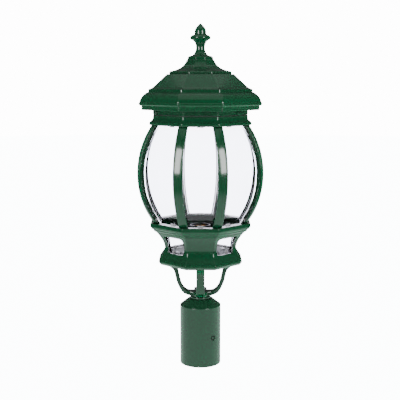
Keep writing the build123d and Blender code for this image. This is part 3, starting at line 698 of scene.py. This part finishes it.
class LANTERN_OT_socket(PieceOperator, bpy.types.Operator):
    """Socket that goes over the post, with its three screw holes, and the spacer on its shoulder"""
    bl_idname = "lantern.socket"
    bl_label = "Socket and neck ring"

    def execute(self, context):
        top, shoulder_r, outer = 106.3, 21.2, reach("post_socket")
        bore, depth, bevel = 31, 95, 0.8
        socket = turned("post_socket_casting", [
            (STEM_HOLE_R, depth), (bore, depth), (bore, bevel), (bore + bevel, 0), (outer - bevel, 0),
            (outer, bevel), (outer, top), (shoulder_r, head("post_socket")),
            (STEM_HOLE_R, head("post_socket")),
        ], 1.1)
        screw_hole_r, spot_r, spot_depth, past = 4.06, 5.6, 0.8, 3
        holes = [self.hole(screw_hole_r, bore - past, outer + past),
                 self.hole(spot_r, outer - spot_depth, outer + past)]
        cutter = joined("socket_cutter", holes)
        copied(cutter, finish("green_coat"), 3, from_front(CLAMP_AZIMUTH))
        cut = socket.modifiers.new("Screw holes", "BOOLEAN")
        cut.object, cut.solver = cutter, "EXACT"
        socket.modifiers.move(1, 0)
        applied(socket)
        bpy.data.objects.remove(cutter)
        settle(socket, "green_coat", "lantern", "post_socket")
        low, high, ring_r = foot("neck_ring"), head("neck_ring"), 18
        ring = turned("neck_ring_casting", [
            (STEM_HOLE_R, low), (ring_r, low), (ring_r, high), (STEM_HOLE_R, high),
        ], 1.2)
        settle(ring, "green_coat", "lantern", "neck_ring")
        return {"FINISHED"}

    def hole(self, radius, start, end):
        """Level cylinder towards +X at the clamp screws' height."""
        height = (foot("clamp_screw_1") + head("clamp_screw_1")) / 2
        built = bmesh.new()
        skin(built, [[(x, u, height + v) for u, v in circle(radius, 48)] for x in (start, end)])
        return finished("hole", built, weighted=False)


def round_ring(x, radius, sides):
    """Ring of points round the X axis."""
    angles = [2 * math.pi * k / sides for k in range(sides)]
    return [(x, radius * math.cos(angle), radius * math.sin(angle)) for angle in angles]


def key_ring(x, corner_r, sides):
    """Ring of points on a hexagon round the X axis, with its corners at this radius."""
    ring = []
    for k in range(sides):
        angle = 2 * math.pi * k / sides
        fold = (angle + math.pi / 6) % (math.pi / 3) - math.pi / 6
        edge = corner_r * math.cos(math.pi / 6) / math.cos(fold)
        ring.append((x, edge * math.cos(angle), edge * math.sin(angle)))
    return ring


def dome_screw(name, radius, height, shank_r, shank, key_r, key_depth):
    """Screw lying along +X, its head's seat at 0: a domed head with a hexagon socket."""
    sides = 36
    brim = 0.14 * height
    lathe = [(-shank, 0.75 * shank_r), (0.6 - shank, shank_r), (0, shank_r), (0, radius), (brim, radius)]
    for angle in map(math.radians, (18, 36, 52)):
        lathe.append((brim + (height - brim) * math.sin(angle), radius * math.cos(angle)))
    lathe.append((height, key_r * 1.16))
    key_end = height - key_depth
    socket = [(height, 1.05), (height - 0.15, 1.0), (key_end, 1.0), (key_end - 0.5, 0.3)]
    loops = [round_ring(x, r, sides) for x, r in lathe]
    loops += [key_ring(x, scale * key_r, sides) for x, scale in socket]
    built = bmesh.new()
    skin(built, loops)
    return finished(name, built)


class LANTERN_OT_clamp_screws(PieceOperator, bpy.types.Operator):
    """Three socket-head grub screws that clamp the socket on its post"""
    bl_idname = "lantern.clamp_screws"
    bl_label = "Clamp screws"

    def execute(self, context):
        tip, end = 31.35, 35.2
        for number in range(3):
            node = f"clamp_screw_{number + 1}"
            height = (foot(node) + head(node)) / 2
            screw = self.grub(f"{node}_finished", end - tip)
            turn = from_front(CLAMP_AZIMUTH + 120 * number)
            copied(screw, finish("black_steel"), 1, turn, 0, (end, 0, height))
            settle(screw, "black_steel", node, node)
        return {"FINISHED"}

    def grub(self, name, length):
        """Grub screw along +X that ends at 0: thread grooves round it and a hexagon socket."""
        sides, radius, pitch, depth, key_r, key_depth = 40, 3.98, 0.62, 0.22, 2.3, 2.2
        lathe = [(-length, radius - 1.0), (0.7 - length, radius - 0.3)]
        for turn in range(int((length - 1.2) / pitch)):
            x = 0.8 - length + turn * pitch
            lathe += [(x, radius), (x + pitch / 2, radius - depth)]
        lathe += [(-0.35, radius), (0, radius - 0.35), (0, key_r * 1.12)]
        socket = [(-0.12, 1.0), (-key_depth, 1.0), (-key_depth - 0.6, 0.3)]
        loops = [round_ring(x, r, sides) for x, r in lathe]
        loops += [key_ring(x, scale * key_r, sides) for x, scale in socket]
        built = bmesh.new()
        skin(built, loops)
        return finished(name, built)


class LANTERN_OT_yoke(PieceOperator, bpy.types.Operator):
    """Four curved arms on a round hub"""
    bl_idname = "lantern.yoke"
    bl_label = "Arm yoke"

    def execute(self, context):
        base, top, far = foot("arm_yoke"), head("arm_yoke"), reach("arm_yoke")
        hub_r, hub_top, foot_r, thin, flare = 16.8, 130.7, 11, 7.25, 5.2
        outer = [(foot_r, base + 0.2), (25.7, 125.6), (34, 132.7), (41.1, 146.9), (44.2, 159),
                 (47.2, 169.1), (53.6, 175.2), (far, top - 1.5)]
        inner = [(9.5, 130.5), (22.9, 132.8), (31.4, 140.8), (35.3, 150.9), (37.7, 161), (39.9, 171.1),
                 (41.6, top - 4), (42.3, top)]
        built = bmesh.new()
        loops = []
        for part in (step / ARM_STEPS for step in range(ARM_STEPS + 1)):
            low, high = through(outer, part), through(inner, part)
            width = thin + flare * max(0, 1 - (low[0] - foot_r) / 16) ** 1.6
            loops.append(self.bar(low, high, width))
        skin(built, loops)
        arm = finished("arm", built)
        applied(arm)
        copied(arm, finish("green_coat"), context.scene.lantern_sizes.arm_count)
        hub = turned("hub", [(STEM_HOLE_R, base), (hub_r, base), (hub_r, hub_top), (STEM_HOLE_R, hub_top)],
                     1.2)
        applied(hub)
        yoke = joined("arm_yoke_casting", [arm, hub])
        add_weighting(yoke)
        settle(yoke, "green_coat", "lantern", "arm_yoke")
        return {"FINISHED"}

    def bar(self, low, high, width):
        """Section of an arm: a flat bar with rounded edges, from its outer to its inner side."""
        depth = math.hypot(high[0] - low[0], high[1] - low[1])
        flat = eased([(-width, 0), (width, 0), (width, depth), (-width, depth)], 1.6)
        along = ((high[0] - low[0]) / depth, (high[1] - low[1]) / depth)
        return [(low[0] + along[0] * v, u, low[1] + along[1] * v) for u, v in flat]


def through(points, part):
    """Point at a part of the way along a smooth curve through these points, by equal spans."""
    spans = len(points) - 1
    span = min(int(part * spans), spans - 1)
    t = part * spans - span
    near = [points[max(0, span - 1)], points[span], points[span + 1], points[min(spans, span + 2)]]
    return tuple(
        0.5 * (2 * b + (c - a) * t + (2 * a - 5 * b + 4 * c - d) * t**2 + (3 * b - a - 3 * c + d) * t**3)
        for a, b, c, d in zip(*near))


class LANTERN_OT_lower_cage(PieceOperator, bpy.types.Operator):
    """Hollow-sided casting under the globe, with a window in each wide side"""
    bl_idname = "lantern.lower_cage"
    bl_label = "Lower cage"

    def execute(self, context):
        base, top = foot("lower_cage"), head("lower_cage")
        floor, flange = base + 4, top - 3.2
        wall, rim, rim_top, waist, brow = 3.5, 72.3, 190.8, CAGE_WAIST_R, reach("lower_cage")
        body = cast("lower_cage_casting", [
            (STEM_HOLE_R, base), (rim - wall, base), (rim, base + 4.6), (rim, rim_top),
            ((69.5, 196.5), (waist, 203.5), (waist, 212.5)), ((waist, 221), (66.5, 229.5), (brow, top)),
            (RIM_OPENING_R, top), (RIM_OPENING_R, flange), (brow - wall - 3.4, flange),
            ((63, 229.5), (waist - wall, 221), (waist - wall, 212.5)),
            ((waist - wall, 203.5), (69.5 - wall, 196.5), (rim - wall, rim_top)),
            (rim - wall, floor), (STEM_HOLE_R, floor),
        ], casting_edge(), corner_part())
        body.modifiers.clear()
        cutter = self.window()
        copied(cutter, finish("green_coat"), 4, EIGHTH)
        cut = body.modifiers.new("Windows", "BOOLEAN")
        cut.object, cut.solver = cutter, "EXACT"
        applied(body)
        bpy.data.objects.remove(cutter)
        edge = body.modifiers.new("Window edges", "BEVEL")
        edge.width, edge.segments, edge.limit_method = 0.5 * MM, 2, "ANGLE"
        edge.angle_limit = WINDOW_SHARP
        body.data.shade_smooth()
        applied(body)
        add_weighting(body)
        settle(body, "green_coat", "lantern", "lower_cage")
        return {"FINISHED"}

    def window(self):
        """Cutter of one window, facing +X: wider at its top, with round upper corners."""
        low, high, border = 205.2, 235.1, 9
        tangent = math.tan(WIDE_HALF) * WIDE_RATIO
        foot_half, head_half = CAGE_WAIST_R * tangent - border, 72.5 * tangent - border
        flat = [(-foot_half, low), (foot_half, low), *self.corner(head_half, high, 1),
                *self.corner(head_half, high, -1)]
        built = bmesh.new()
        start = CAGE_WAIST_R * WIDE_RATIO - 15
        prism(built, flat, 60, lambda u, v, depth: (start + depth, u, v))
        return finished("window_cutter", built, weighted=False)

    def corner(self, half, high, side):
        """Round upper corner of a window, from the foot's side up, or down on the other side."""
        round_r, lean = 7, 1.7
        ends = [(half - lean, high - round_r), (half, high), (half - round_r, high)]
        points = [ends[0], *bezier(ends, 8)]
        return points if side > 0 else [(-u, v) for u, v in reversed(points)]


class LANTERN_OT_waist_ring(PieceOperator, bpy.types.Operator):
    """Moulded ring that the ribs and the panes stand on"""
    bl_idname = "lantern.waist_ring"
    bl_label = "Waist ring"

    def execute(self, context):
        base, top = foot("waist_ring"), head("waist_ring")
        plate, far = top - 4, reach("waist_ring")
        ring = cast("waist_ring_casting", [
            (RIM_OPENING_R, base), (75.8, base), (76.8, 241.8), ((79.4, 242.3), (81, 244), (81.2, 246.3)),
            (82.6, 246.8), ((84.2, 247.5), (85, 248.6), (85.1, 250)), (far - 0.4, 250.4), (far, 251.4),
            (far, 255.9), (far - 1.3, top), (GLOBE_OPENING_R, top), (GLOBE_OPENING_R, plate),
            (81.2, plate), (75.2, base + 4), (RIM_OPENING_R, base + 4),
        ], casting_edge(), corner_part())
        settle(ring, "green_coat", "lantern", "waist_ring")
        return {"FINISHED"}


class LANTERN_OT_ribs(PieceOperator, bpy.types.Operator):
    """Bowed ribs of tee section at the corners of the plan"""
    bl_idname = "lantern.ribs"
    bl_label = "Ribs"

    def execute(self, context):
        sizes = context.scene.lantern_sizes
        half, thick, web, web_end = 8, 4.2, 3, 11.2
        crown = sizes.rib_crown / MM
        built = bmesh.new()
        loops = []
        for height in heights(foot("rib_1"), head("rib_1"), RIB_STEPS):
            r = globe_r(height)
            flat = [(r - crown, -half), (r - crown / 4, -half / 2), (r, 0), (r - crown / 4, half / 2),
                    (r - crown, half), (r - thick, half), (r - thick, web), (r - web_end, web),
                    (r - web_end, -web), (r - thick, -web), (r - thick, -half)]
            loops.append([(x, y, height) for x, y in eased(flat, casting_edge())])
        skin(built, loops)
        rib = finished("ribs_casting", built)
        applied(rib)
        copied(rib, finish("green_coat"), sizes.rib_count, EIGHTH / 2, NARROW_HALF - EIGHTH / 2)
        settle(rib, "green_coat", "lantern", *[f"rib_{number}" for number in range(1, 9)])
        return {"FINISHED"}


class LANTERN_OT_panes(PieceOperator, bpy.types.Operator):
    """Bent panes between the ribs, and the four flat panes behind the lower windows"""
    bl_idname = "lantern.panes"
    bl_label = "Panes"

    def execute(self, context):
        groups = (("wide", WIDE_HALF, EIGHTH), ("narrow", NARROW_HALF, 0.0))
        for kind, half_angle, start in groups:
            pane = self.bent(f"{kind}_panes_glass", kind, half_angle)
            copied(pane, finish("clear_glass"), 4, start)
            settle(pane, "clear_glass", "lantern", *[f"{kind}_pane_{n}" for n in range(1, 5)])
        flat = self.leaning("lower_panes_glass")
        copied(flat, finish("clear_glass"), 4, EIGHTH)
        settle(flat, "clear_glass", "lantern", *[f"lower_pane_{n}" for n in range(1, 5)])
        return {"FINISHED"}

    def plate(self, name, stations):
        """Pane from stations of height, outer radius, half angle and inset of its edges."""
        built = bmesh.new()
        loops = []
        for height, outer, half_angle, inset in stations:
            inner, cut = outer - PANE_THICKNESS, inset / math.cos(half_angle)
            near, far = [r * math.tan(half_angle) - cut for r in (inner, outer)]
            flat = [(inner, -near), (outer, -far), (outer, far), (inner, near)]
            loops.append([(x, y, height) for x, y in eased(flat, PANE_EDGE)])
        skin(built, loops)
        piece = finished(name, built, weighted=False)
        piece.data.set_sharp_from_angle(angle=PANE_SHARP)
        return piece

    def bent(self, name, kind, half_angle):
        """Pane bent to the ribs' arc."""
        low, high = foot(f"{kind}_pane_1"), head(f"{kind}_pane_1")
        rib_depth, rib_half, inset = 4.35, 8, 3.15
        set_back = rib_depth + rib_half * math.tan(half_angle)
        return self.plate(name, [
            (z, (globe_r(z) - set_back) * math.cos(half_angle), half_angle, inset)
            for z in heights(low, high, PANE_STEPS)])

    def leaning(self, name):
        """Flat pane that leans out a little."""
        low, high = foot("lower_pane_1"), head("lower_pane_1")
        foot_r, inset = 54, 2.5
        return self.plate(name, [
            (z, foot_r + (z - low) * LOWER_PANE_LEAN, WIDE_HALF, inset) for z in heights(low, high, 2)])


class LANTERN_OT_top_collar(PieceOperator, bpy.types.Operator):
    """Beaded ring on the ribs' heads, with a spigot inside the roof"""
    bl_idname = "lantern.top_collar"
    bl_label = "Top collar"

    def execute(self, context):
        base, top = foot("top_collar"), head("top_collar")
        ledge, neck, spigot, opening, wall = 442.4, 80.5, SPIGOT_R, GLOBE_OPENING_R, 3.2
        collar = cast("top_collar_casting", [
            (opening, base), (85, base), ((87.6, 426.8), (87.6, 430.8), (85.3, 431.9)),
            ((82.8, 433.5), (80.6, 435.9), (neck, 439.3)), (neck, ledge), (spigot, ledge), (spigot, top),
            (spigot - wall, top), (spigot - wall, 439.8), (77.6, 436), (77.6, base + 4),
            (opening, base + 4),
        ], 0.5, corner_part())
        settle(collar, "green_coat", "lantern", "top_collar")
        return {"FINISHED"}


class LANTERN_OT_roof(PieceOperator, bpy.types.Operator):
    """Hollow cast roof with its skirt, moulded eave and eight slopes"""
    bl_idname = "lantern.roof"
    bl_label = "Roof"

    def execute(self, context):
        base, top = foot("roof"), head("roof")
        skirt, skirt_in, eave, band, lip = SKIRT_R, 77.3, 451.7, 99.6, 105
        under, ceiling, stud = eave + 4, top - 4, STUD_HOLE_R
        roof = cast("roof_casting", [
            (skirt_in, base), (skirt, base), (skirt, eave), (band, eave), (band, 458.8),
            ((lip, 458.8), (lip, 463.8), (102.7, 465.1)), ((101.9, 470.5), (97.6, 477.4), (90.2, 481.1)),
            (88.1, 481.7), (87.7, 486.7), ((84.1, 487.4), (81.2, 488.9), (79, 490.9)), (56.7, top),
            (stud, top), (stud, ceiling), (55.1, ceiling), (76, 488.5), (84.3, 484), (86.1, 478.4),
            (95.2, 471.7), (96, under), (skirt_in, under),
        ], casting_edge(), corner_part())
        settle(roof, "green_coat", "roof", "roof")
        return {"FINISHED"}


class LANTERN_OT_roof_screws(PieceOperator, bpy.types.Operator):
    """Three dome-head screws that hold the roof on its collar"""
    bl_idname = "lantern.roof_screws"
    bl_label = "Roof screws"

    def execute(self, context):
        height, slack = 447.4, 0.35
        places = ((45, 12.3, WIDE_RATIO), (180, -8.4, 1.0), (-45, -27.8, WIDE_RATIO))
        for number, (azimuth, along, ratio) in enumerate(places, 1):
            node = f"roof_screw_{number}"
            seat, tip = SKIRT_R * ratio + slack, SPIGOT_R * ratio + slack
            screw = dome_screw(f"{node}_finished", radius=4.1, height=3, shank_r=2.5, shank=seat - tip,
                               key_r=1.8, key_depth=1.6)
            copied(screw, finish("green_coat"), 1, from_front(azimuth), 0, (seat, along, height))
            settle(screw, "green_coat", node, node)
        return {"FINISHED"}


class LANTERN_OT_cap(PieceOperator, bpy.types.Operator):
    """Eight-sided bell cap on the roof and the turned acorn finial"""
    bl_idname = "lantern.cap"
    bl_label = "Cap and finial"

    def execute(self, context):
        base, top = foot("roof_cap"), head("roof_cap")
        plate, stud = reach("roof_cap"), STUD_HOLE_R
        cap = cast("roof_cap_casting", [
            (plate, base), (plate, base + 3), (51.3, base + 4.7),
            ((36.2, 519), (27.1, 525.1), (23.8, 534.7)), (22.1, 536), (21.5, 539.6),
            ((20.9, 542), (17.1, 542.6), (14.6, top)), (stud, top), (stud, 531.7), (19.5, 531.7),
            ((22.9, 521.4), (32.4, 516.2), (49.1, 513.4)), (49.1, base),
        ], 0.6, corner_part())
        settle(cap, "green_coat", "roof", "roof_cap")
        tip = head("finial")
        finial = turned("finial_turning", [
            (0, top), (14.1, top), ((10, 546.2), (7.5, 550.9), (7.5, 556.4)),
            ((7.5, 562.6), (10, 567.3), (14.4, 569.4)), ((17.3, 570.3), (18.5, 572.9), (16.7, 575.1)),
            ((15.7, 576.6), (13.3, 577.9), (10.4, 578.5)), ((9.5, 580), (10.4, 582.2), (9.7, 584.5)),
            ((9.1, 589.2), (5.2, 592.9), (1.1, tip - 0.2)), (0, tip),
        ], 0.4)
        settle(finial, "green_coat", "roof", "finial")
        return {"FINISHED"}


class LANTERN_OT_inner_parts(PieceOperator, bpy.types.Operator):
    """Finishes of the fittings that keep their frame shapes: stem, tray, lampholder and fixings"""
    bl_idname = "lantern.inner_parts"
    bl_label = "Finishes of the inner parts"

    def execute(self, context):
        replaced = {name for piece in bpy.data.objects for name in piece.get("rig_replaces", [])}
        slots = {part["node"]: part["material_slot"] for part in frame["record"]["subparts"]}
        for name, piece in frame["nodes"].items():
            if name in replaced:
                continue
            piece.data.materials.clear()
            piece.data.materials.append(finish(slots[name]))
        return {"FINISHED"}


class LANTERN_OT_stage(PieceOperator, bpy.types.Operator):
    """Pale floor, soft studio light and the camera"""
    bl_idname = "lantern.stage"
    bl_label = "Stage"

    def execute(self, context):
        sizes = context.scene.lantern_stage
        self.camera(context, sizes)
        self.floor()
        self.surroundings(context, sizes)
        centre = (CAD_BOX[0][2] + CAD_BOX[1][2]) / 2
        for name, side in (("Left", -1), ("Right", 1)):
            self.softbox(f"{name} softbox", (side * 1.35, -1.6, centre + 0.65), centre, (0.6, 1.2), 36)
        self.softbox("Top softbox", (0, 0, centre + 1.9), centre, (2.6, 2.6), 8)
        return {"FINISHED"}

    def camera(self, context, sizes):
        """Camera at the height of the roof, looking a little down."""
        data = bpy.data.cameras.new("Camera")
        data.lens, data.sensor_width = sizes.lens, 36
        camera = new_object("Camera", data)
        camera.location = (sizes.camera_side, -sizes.camera_back, sizes.camera_height)
        camera.rotation_euler = (QUARTER - sizes.camera_tilt, 0, 0)
        context.scene.camera = camera

    def floor(self):
        """Round floor under the socket's rim."""
        built = bmesh.new()
        bmesh.ops.create_circle(built, cap_ends=True, segments=96, radius=FLOOR_R)
        floor = finished("studio_floor", built, weighted=False)
        floor.data.materials.append(finish("floor"))

    def surroundings(self, context, sizes):
        """Plain white all round, brighter where it is seen than where it lights."""
        world = bpy.data.worlds.new("White surroundings")
        world.use_nodes = True
        context.scene.world = world
        tree = world.node_tree
        back = tree.nodes["Background"]
        back.inputs["Color"].default_value = (1, 1, 1, 1)
        path = add(tree, "ShaderNodeLightPath").outputs
        through_glass = ramp(tree, path["Transmission Depth"], 0.4, 0.6, sizes.sky, sizes.in_glass)
        lighting = add(tree, "ShaderNodeMath", {1: 0.5}, {0: path["Diffuse Depth"]},
                       operation="GREATER_THAN")
        unseen = add(tree, "ShaderNodeMix", {"B": sizes.fill},
                     {"Factor": lighting.outputs[0], "A": through_glass}).outputs[0]
        strength = add(tree, "ShaderNodeMix", {"B": sizes.backdrop},
                       {"Factor": seen_directly(tree), "A": unseen})
        tree.links.new(strength.outputs[0], back.inputs["Strength"])

    def softbox(self, name, place, aim, size, power):
        """Rectangular light that faces the lantern's middle."""
        data = bpy.data.lights.new(name, "AREA")
        data.shape, data.size, data.size_y, data.energy = "RECTANGLE", *size, power
        light = new_object(name, data)
        light.location = place
        direction = light.location.copy()
        direction.z -= aim
        light.rotation_euler = direction.to_track_quat("Z", "Y").to_euler()


class LANTERN_PT_panel(bpy.types.Panel):
    """The lantern's pieces, sizes and colours"""
    bl_idname = "LANTERN_PT_panel"
    bl_label = "Post-top lantern"
    bl_space_type = "VIEW_3D"
    bl_region_type = "UI"
    bl_category = "Lantern"

    def draw(self, context):
        scene = context.scene
        for group in (scene.lantern_sizes, scene.lantern_finish, scene.lantern_stage):
            box = self.layout.box()
            for name in group.__annotations__:
                box.prop(group, name)
        for operator in OPERATORS:
            self.layout.operator(operator.bl_idname)


OPERATORS = (
    LANTERN_OT_stage, LANTERN_OT_socket, LANTERN_OT_clamp_screws, LANTERN_OT_yoke, LANTERN_OT_lower_cage,
    LANTERN_OT_waist_ring, LANTERN_OT_ribs, LANTERN_OT_panes, LANTERN_OT_top_collar, LANTERN_OT_roof,
    LANTERN_OT_roof_screws, LANTERN_OT_cap, LANTERN_OT_inner_parts,
)
CLASSES = (LanternSizes, LanternFinish, LanternStage, *OPERATORS, LANTERN_PT_panel)


def register():
    """Register the classes and their settings."""
    for kind in CLASSES:
        bpy.utils.register_class(kind)
    bpy.types.Scene.lantern_sizes = PointerProperty(type=LanternSizes)
    bpy.types.Scene.lantern_finish = PointerProperty(type=LanternFinish)
    bpy.types.Scene.lantern_stage = PointerProperty(type=LanternStage)


def unregister():
    """Undo register."""
    for name in ("lantern_stage", "lantern_finish", "lantern_sizes"):
        delattr(bpy.types.Scene, name)
    for kind in reversed(CLASSES):
        bpy.utils.unregister_class(kind)


def main():
    """Build the lantern."""
    register()
    for operator in OPERATORS:
        group, name = operator.bl_idname.split(".")
        getattr(getattr(bpy.ops, group), name)()


if __name__ == "__main__":
    main()
